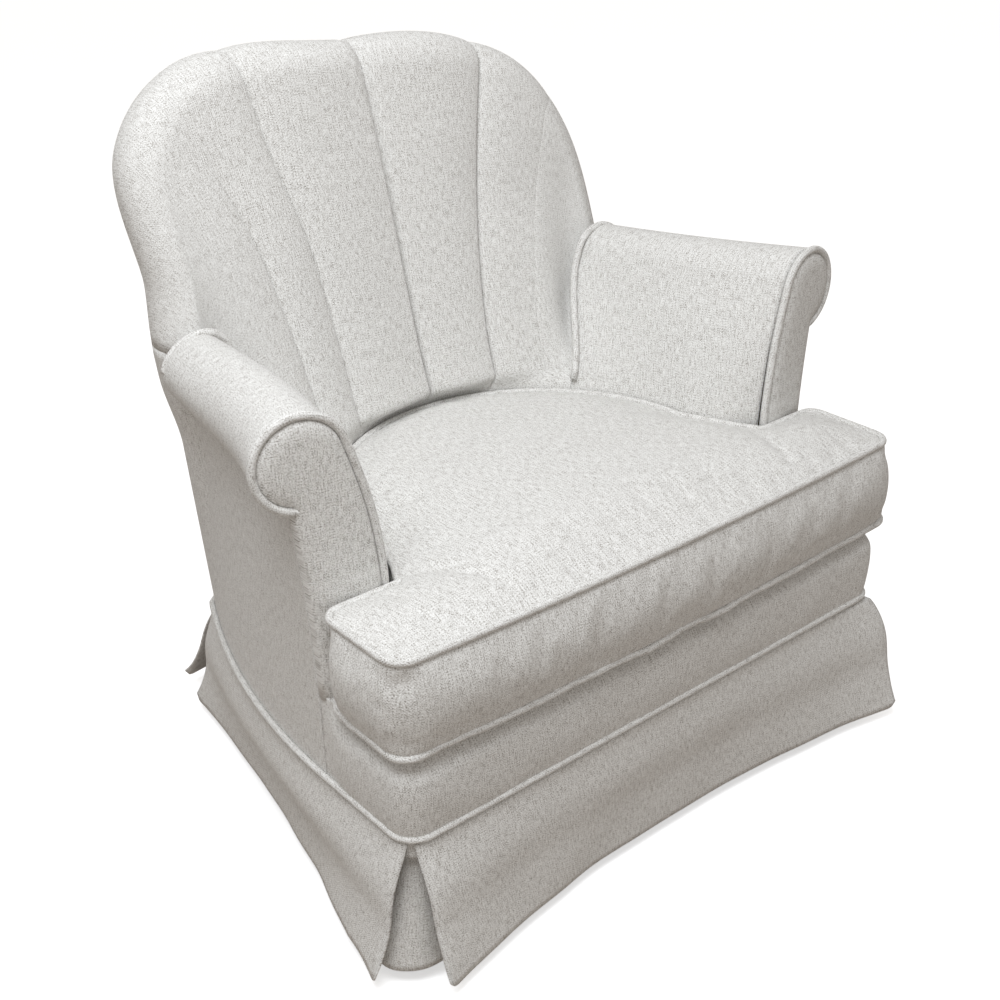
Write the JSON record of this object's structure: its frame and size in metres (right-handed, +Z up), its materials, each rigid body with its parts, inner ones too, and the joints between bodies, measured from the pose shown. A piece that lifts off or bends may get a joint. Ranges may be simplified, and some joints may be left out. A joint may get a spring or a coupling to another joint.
{
  "type": "swivel rocking chair",
  "caption": "Skirted armchair with rolled arms, a channelled barrel back and a loose T-shaped seat cushion, on a hidden steel base that turns and rocks.",
  "frame": {"origin": "on the floor, on the swivel axis, in the middle of the chair's outline", "axes": "+Z up; the chair faces -Y; +X towards the sitter's left, seen from the front on the right"},
  "size_m": [0.8608, 0.7123, 0.8623],
  "materials": {
    "upholstery": "heathered light greige basket weave, matte",
    "deck_cloth": "plain deck cloth, matte",
    "dust_cloth": "thin black dust cloth, matte",
    "hardwood": "sawn and unfinished",
    "painted_steel": "satin black",
    "zinc_steel": "zinc plated",
    "spring_steel": "oiled spring wire",
    "cage_brass": "plain",
    "nylon": "natural nylon",
    "black_plastic": "moulded",
    "rubber": "moulded"
  },
  "bodies": {
    "base": {"base_ring": "painted_steel", "base_cross": "painted_steel", "floor_glides": "black_plastic", "king_pin": "painted_steel", "lower_race": "zinc_steel", "bearing_balls": "zinc_steel", "ball_cage": "cage_brass", "king_washer": "zinc_steel", "king_nut": "zinc_steel"},
    "swivel": {"swivel_plate": "painted_steel", "pivot_bushing": "nylon", "rocker_yoke": "painted_steel", "rock_shaft": "zinc_steel", "shaft_clips": "zinc_steel", "lower_spring_seats": "painted_steel", "bump_stops": "rubber", "front_rocker_springs": "spring_steel", "rear_rocker_springs": "spring_steel"},
    "rocker": {"rocker_bracket": "painted_steel", "shaft_bushings": "nylon", "upper_spring_seats": "painted_steel", "bracket_bolts": "zinc_steel", "dust_cover": "dust_cloth", "bracket_rails": "hardwood", "front_rail": "hardwood", "left_side_rail": "hardwood", "right_side_rail": "hardwood", "rear_rail": "hardwood", "arm_posts": "hardwood", "arm_rails": "hardwood", "back_posts": "hardwood", "back_top_rail": "hardwood", "back_bottom_rail": "hardwood", "seat_springs": "spring_steel", "back_springs": "spring_steel", "seat_deck": "deck_cloth", "front_border": "upholstery", "left_arm_pad": "upholstery", "right_arm_pad": "upholstery", "left_arm_front": "upholstery", "right_arm_front": "upholstery", "left_outside_arm": "upholstery", "right_outside_arm": "upholstery", "inside_back": "upholstery", "outside_back": "upholstery", "arm_welts": "upholstery", "back_welts": "upholstery", "skirt_welt": "upholstery", "front_skirt": "upholstery", "left_skirt": "upholstery", "right_skirt": "upholstery", "rear_skirt": "upholstery", "pleat_underlays": "upholstery"},
    "cushion": {"seat_cushion": "upholstery", "cushion_welts": "upholstery"}
  },
  "joints": [
    {"name": "swivel_turn", "type": "hinge", "parent": "base", "child": "swivel", "pos_m": [0, 0, 0.056], "axis": [0, 0, 1], "continuous": true},
    {"name": "rock", "type": "hinge", "parent": "swivel", "child": "rocker", "pos_m": [0, 0, 0.118], "axis": [-1, 0, 0], "range_deg": [-9, 12], "stiffness_Nm_per_rad": 450, "deforming": ["front_rocker_springs", "rear_rocker_springs", "front_skirt", "left_skirt", "right_skirt", "rear_skirt", "pleat_underlays"]},
    {"name": "cushion_pull", "type": "slide", "parent": "rocker", "child": "cushion", "axis": [0, -1, 0], "range_m": [0, 0.5]}
  ]
}
